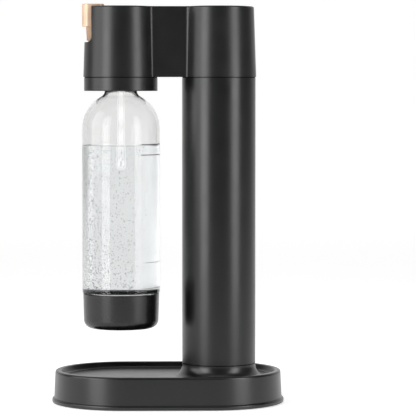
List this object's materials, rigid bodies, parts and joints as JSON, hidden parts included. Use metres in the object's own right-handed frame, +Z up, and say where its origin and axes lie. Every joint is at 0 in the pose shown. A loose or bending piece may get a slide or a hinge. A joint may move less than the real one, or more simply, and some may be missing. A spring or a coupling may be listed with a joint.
{
  "type": "soda carbonator",
  "caption": "Counter-top soda carbonator: column on a tray base, head with a pull lever, clear bottle hanging under it and a gas cylinder inside the column.",
  "frame": {"origin": "on the floor under the middle of the base", "axes": "+Z up; the head and its lever are at -X, the column at +X; +Y is the machine's far side when the lever is on the left"},
  "size_m": [0.258, 0.1644, 0.442],
  "materials": {
    "base_black": "satin moulded black",
    "housing_black": "satin moulded black",
    "column_black": "satin black coating",
    "lever_gold": "satin champagne gold anodised",
    "rubber_black": "matte",
    "fastener_steel": "zinc plated",
    "spring_steel": "bright wire",
    "link_steel": "pressed and tumbled",
    "valve_brass": "turned",
    "pipe_copper": "drawn tube",
    "block_aluminium": "machined",
    "cylinder_aluminium": "spun, satin",
    "sleeve_black": "printed film, plain",
    "chassis_grey": "moulded grey",
    "bottle_clear": "clear, glossy",
    "cup_black": "gloss black",
    "nozzle_clear": "translucent"
  },
  "bodies": {
    "frame": {"base_plate": "base_black", "base_screws": "fastener_steel", "base_shell": "base_black", "bottle_seal": "rubber_black", "bottle_socket": "chassis_grey", "burst_disc_plug": "valve_brass", "chassis_plate": "chassis_grey", "collar_screws": "fastener_steel", "column_tube": "column_black", "gas_pipe": "pipe_copper", "guide_rings": "chassis_grey", "head_collar_ring": "housing_black", "housing_screws": "fastener_steel", "lever_bracket": "link_steel", "lever_bracket_screws": "fastener_steel", "lever_pivot_pin": "link_steel", "lever_return_spring": "spring_steel", "manifold_screws": "fastener_steel", "nozzle_manifold": "chassis_grey", "nozzle_oring": "rubber_black", "nozzle_tip": "nozzle_clear", "nozzle_tube": "nozzle_clear", "pipe_nuts": "valve_brass", "push_pin_spring": "spring_steel", "relief_cap": "valve_brass", "relief_spring": "spring_steel", "relief_valve_body": "valve_brass", "rocker_bracket": "link_steel", "rocker_bracket_screws": "fastener_steel", "rocker_pin": "link_steel", "rubber_feet": "rubber_black", "tie_rod_nuts": "fastener_steel", "tie_rods": "fastener_steel", "top_housing": "housing_black", "valve_block": "block_aluminium", "valve_block_screws": "fastener_steel", "valve_seal": "rubber_black"},
    "lever": {"lever_handle": "lever_gold", "lever_arm": "link_steel"},
    "rocker": {"rocker_arm": "link_steel"},
    "push_pin": {"push_pin": "link_steel", "push_pin_oring": "rubber_black"},
    "relief_poppet": {"relief_poppet": "valve_brass"},
    "bottle": {"bottle_body": "bottle_clear", "bottle_base_cup": "cup_black"},
    "gas_cylinder": {"co2_cylinder": "cylinder_aluminium", "cylinder_sleeve": "sleeve_black", "cylinder_valve_body": "valve_brass", "cylinder_valve_spring": "spring_steel"},
    "cylinder_pin": {"cylinder_valve_pin": "link_steel"}
  },
  "joints": [
    {"name": "lever_pull", "type": "hinge", "parent": "frame", "child": "lever", "pos_m": [-0.0871, 0, 0.4032], "axis": [0, -1, 0], "range_deg": [0, 26], "stiffness_Nm_per_rad": 0.4, "springref_deg": -17.19},
    {"name": "rocker_swing", "type": "hinge", "parent": "frame", "child": "rocker", "pos_m": [0.04, 0, 0.4102], "axis": [0, 1, 0], "range_deg": [0, 5.2], "deforming": ["lever_return_spring"]},
    {"name": "push_pin_press", "type": "slide", "parent": "frame", "child": "push_pin", "axis": [0, 0, -1], "range_m": [0, 0.0016], "deforming": ["push_pin_spring"]},
    {"name": "cylinder_pin_press", "type": "slide", "parent": "gas_cylinder", "child": "cylinder_pin", "axis": [0, 0, -1], "range_m": [0, 0.0016], "deforming": ["cylinder_valve_spring"]},
    {"name": "relief_lift", "type": "slide", "parent": "frame", "child": "relief_poppet", "axis": [0, 0, 1], "range_m": [0, 0.0015], "stiffness_N_per_m": 600, "springref_m": -0.004, "deforming": ["relief_spring"]},
    {"name": "bottle_lower", "type": "slide", "parent": "frame", "child": "bottle", "axis": [0, 0, -1], "range_m": [0, 0.045]},
    {"name": "cylinder_unscrew", "type": "slide", "parent": "frame", "child": "gas_cylinder", "axis": [0, 0, -1], "range_m": [0, 0.012]}
  ],
  "couplings": [
    {"joint": "rocker_swing", "follows": "lever_pull", "ratio": 0.187},
    {"joint": "push_pin_press", "follows": "lever_pull", "m_per_rad": 0.0031},
    {"joint": "cylinder_pin_press", "follows": "lever_pull", "m_per_rad": 0.0031}
  ]
}
